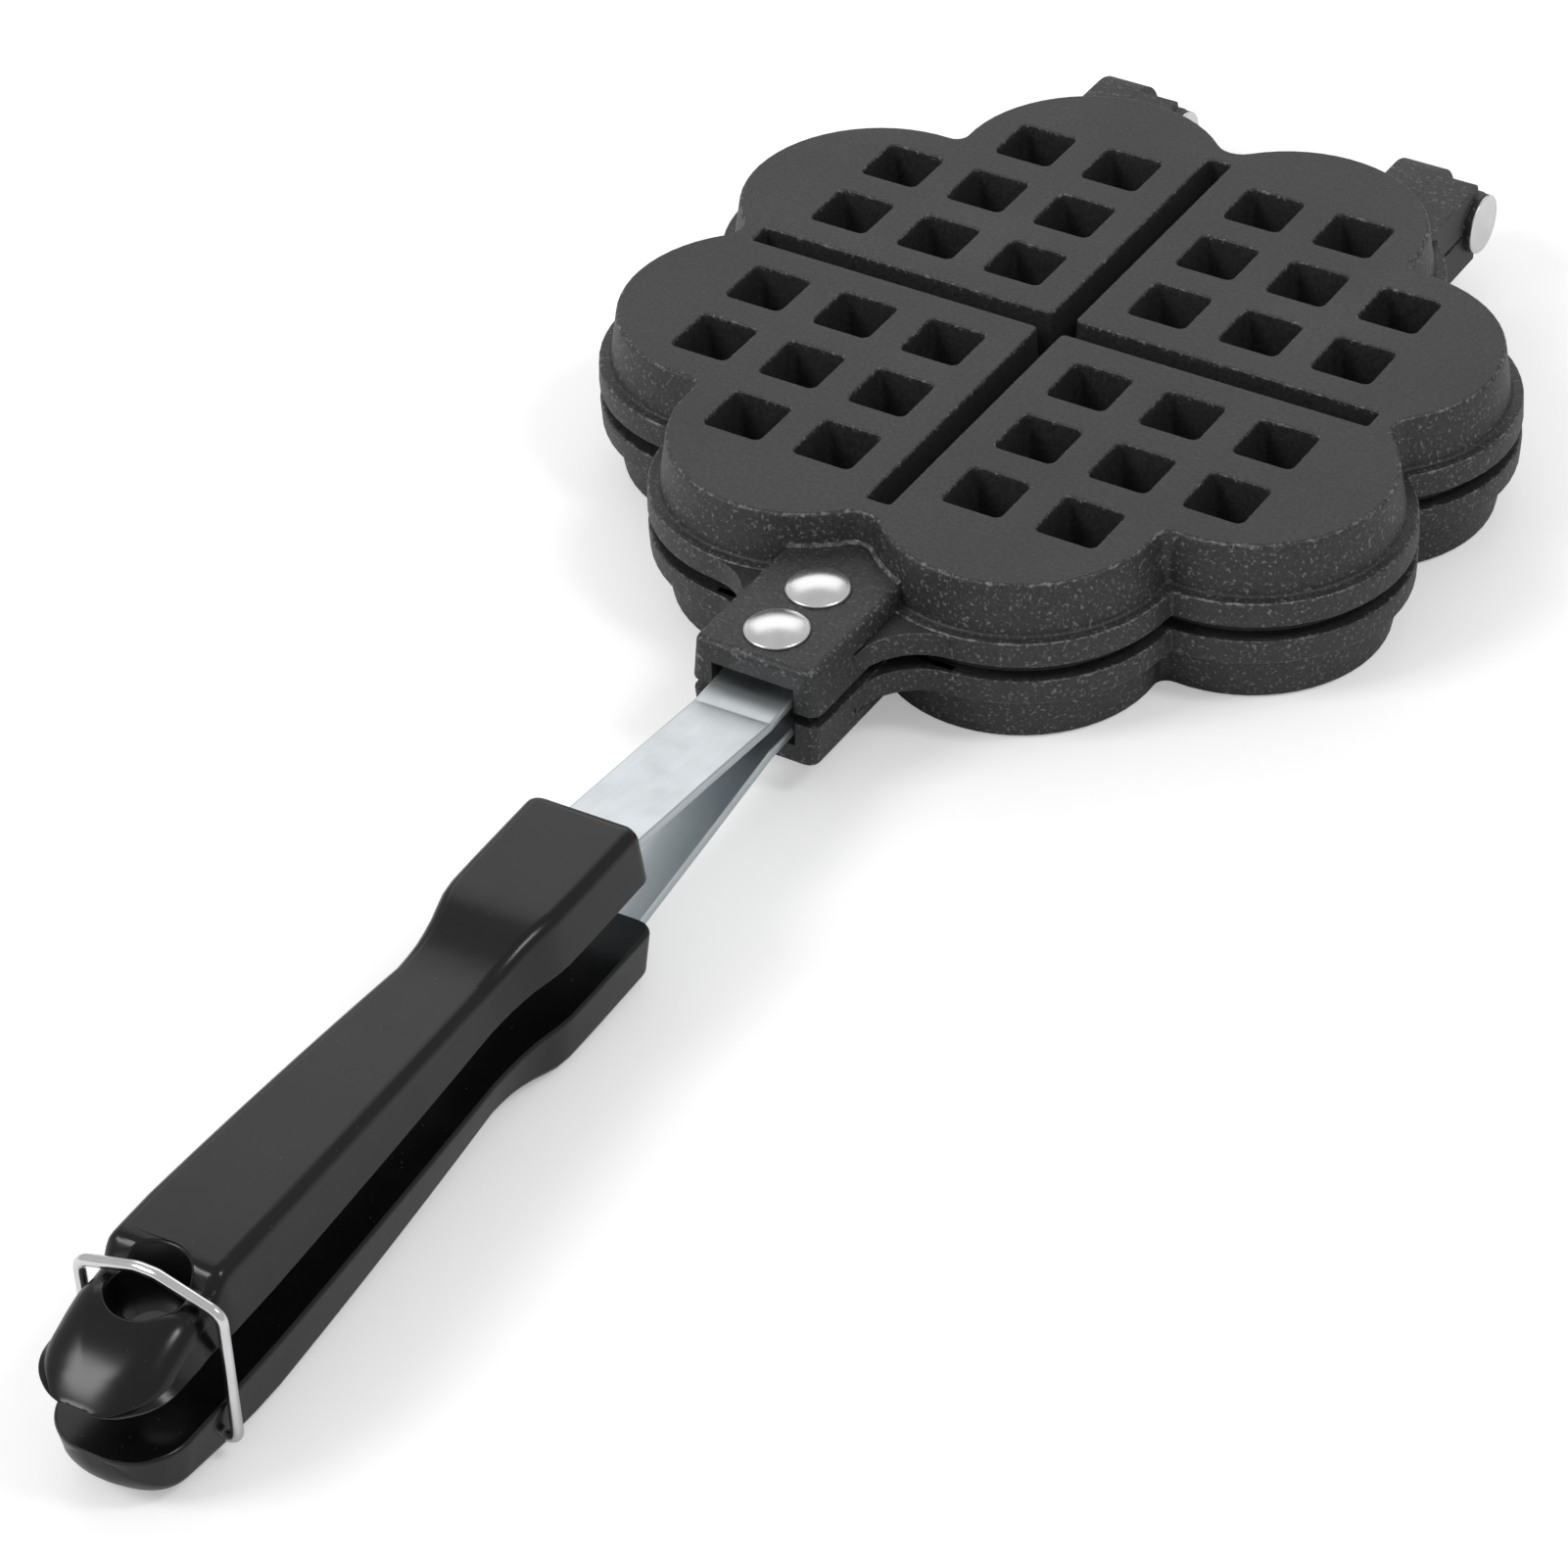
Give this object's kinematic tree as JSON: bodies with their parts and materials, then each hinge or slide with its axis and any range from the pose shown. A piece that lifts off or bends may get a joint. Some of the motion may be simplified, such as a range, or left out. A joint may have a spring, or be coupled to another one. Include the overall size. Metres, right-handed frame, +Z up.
{
  "type": "egg waffle pan",
  "caption": "Hinged stovetop waffle pan with a flower outline, square pockets, a cross groove, steel tangs, moulded grips and a wire clasp.",
  "frame": {"origin": "middle of the lower plate's resting face, on the table plane", "axes": "+Z up from the table, +Y towards the hinge, so the grips lie at -Y, +X to the right seen from above with the hinge at the far side"},
  "size_m": [0.1558, 0.387, 0.0323],
  "materials": {
    "coated_casting": "matte non-stick coating",
    "tang_steel": "zinc plated, satin",
    "grip_plastic": "glossy moulded",
    "rivet_metal": "bright",
    "pin_metal": "satin",
    "clasp_wire": "polished"
  },
  "bodies": {
    "lower": {"lower_plate": "coated_casting", "lower_tang": "tang_steel", "lower_grip": "grip_plastic", "lower_inner_rivet": "rivet_metal", "lower_outer_rivet": "rivet_metal", "left_hinge_pin": "pin_metal", "right_hinge_pin": "pin_metal"},
    "upper": {"upper_plate": "coated_casting", "upper_tang": "tang_steel", "upper_grip": "grip_plastic", "upper_inner_rivet": "rivet_metal", "upper_outer_rivet": "rivet_metal"},
    "clasp": {"wire_clasp": "clasp_wire"}
  },
  "joints": [
    {"name": "pan_hinge", "type": "hinge", "parent": "lower", "child": "upper", "pos_m": [0, 0.0882, 0.0157], "axis": [-1, 0, 0], "range_deg": [0, 170]},
    {"name": "clasp_hinge", "type": "hinge", "parent": "lower", "child": "clasp", "pos_m": [0.00578, -0.27181, 0.0038], "axis": [0.9995, 0.0314, 0], "range_deg": [0, 95]}
  ]
}
